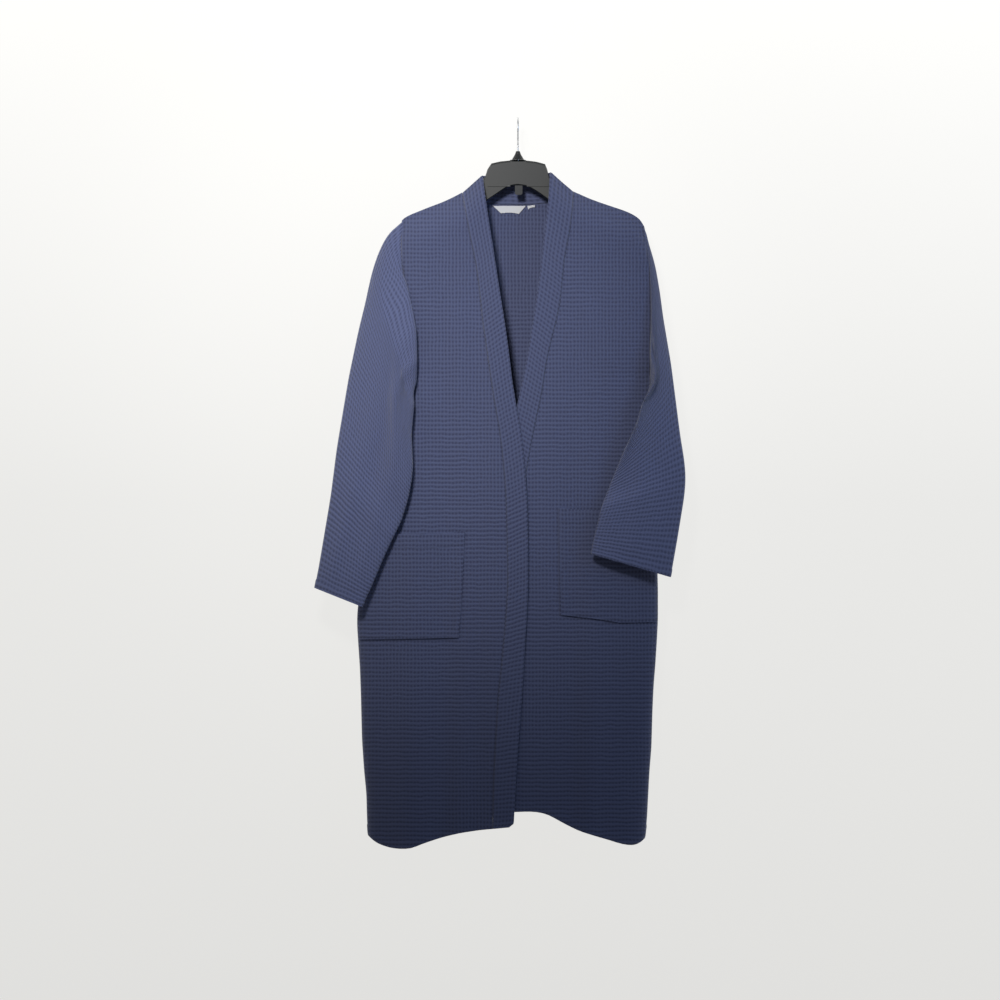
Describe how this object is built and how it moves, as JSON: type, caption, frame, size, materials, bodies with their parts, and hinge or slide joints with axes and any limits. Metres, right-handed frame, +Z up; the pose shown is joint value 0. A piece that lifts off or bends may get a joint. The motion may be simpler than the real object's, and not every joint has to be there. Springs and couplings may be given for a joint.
{
  "type": "bathrobe",
  "caption": "Waffle-weave bathrobe with patch pockets and a plain neck band, hanging open on a moulded hanger that turns on a swivel hook.",
  "frame": {"origin": "inside top of the hook, where a rail carries it", "axes": "+Z up, +X to the viewer's right, front of the robe faces -Y"},
  "size_m": [0.6289, 0.0988, 1.2461],
  "materials": {
    "robe_cloth": "waffle weave, matt",
    "band_cloth": "waffle weave, doubled and topstitched",
    "label_cloth": "woven satin tape, blank",
    "hanger_plastic": "satin moulded",
    "hook_steel": "bright wire"
  },
  "bodies": {
    "hook": {"hook": "hook_steel"},
    "hanger": {"hanger_body": "hanger_plastic", "hook_collar": "hanger_plastic", "retaining_tab": "hanger_plastic"},
    "robe": {"back_panel": "robe_cloth", "right_front_side": "robe_cloth", "left_front_side": "robe_cloth", "right_band_neck": "band_cloth", "left_band_neck": "band_cloth", "right_pocket": "robe_cloth", "left_pocket": "robe_cloth", "neck_label": "label_cloth", "size_tab": "label_cloth", "care_label": "label_cloth"},
    "right_front": {"right_front_flap": "robe_cloth", "right_band_flap": "band_cloth"},
    "left_front": {"left_front_flap": "robe_cloth", "left_band_flap": "band_cloth"},
    "right_sleeve": {"right_sleeve_upper_front": "robe_cloth", "right_sleeve_upper_back": "robe_cloth", "right_sleeve_lower_front": "robe_cloth", "right_sleeve_lower_back": "robe_cloth"},
    "left_sleeve": {"left_sleeve_upper_front": "robe_cloth", "left_sleeve_upper_back": "robe_cloth", "left_sleeve_lower_front": "robe_cloth", "left_sleeve_lower_back": "robe_cloth"}
  },
  "joints": [
    {"name": "hook_swivel", "type": "hinge", "parent": "hook", "child": "hanger", "pos_m": [0, 0, -0.06], "axis": [0, 0, 1], "continuous": true},
    {"name": "robe_lift", "type": "slide", "parent": "hanger", "child": "robe", "axis": [0, 0, 1], "range_m": [0, 1.25]},
    {"name": "right_front_turn", "type": "hinge", "parent": "robe", "child": "right_front", "pos_m": [-0.0544, -0.0256, -0.1485], "axis": [-0.0488, -0.0076, -0.9988], "range_deg": [0, 70]},
    {"name": "left_front_turn", "type": "hinge", "parent": "robe", "child": "left_front", "pos_m": [0.0544, -0.0257, -0.14], "axis": [-0.0141, 0.0074, 0.9999], "range_deg": [0, 35]},
    {"name": "right_sleeve_raise", "type": "hinge", "parent": "robe", "child": "right_sleeve", "pos_m": [-0.202, 0, -0.172], "axis": [0, 1, 0], "range_deg": [0, 40]},
    {"name": "left_sleeve_raise", "type": "hinge", "parent": "robe", "child": "left_sleeve", "pos_m": [0.214, 0, -0.17], "axis": [0, -1, 0], "range_deg": [0, 40]}
  ],
  "couplings": [
    {"joint": "left_front_turn", "follows": "right_front_turn", "ratio": 0.5}
  ]
}
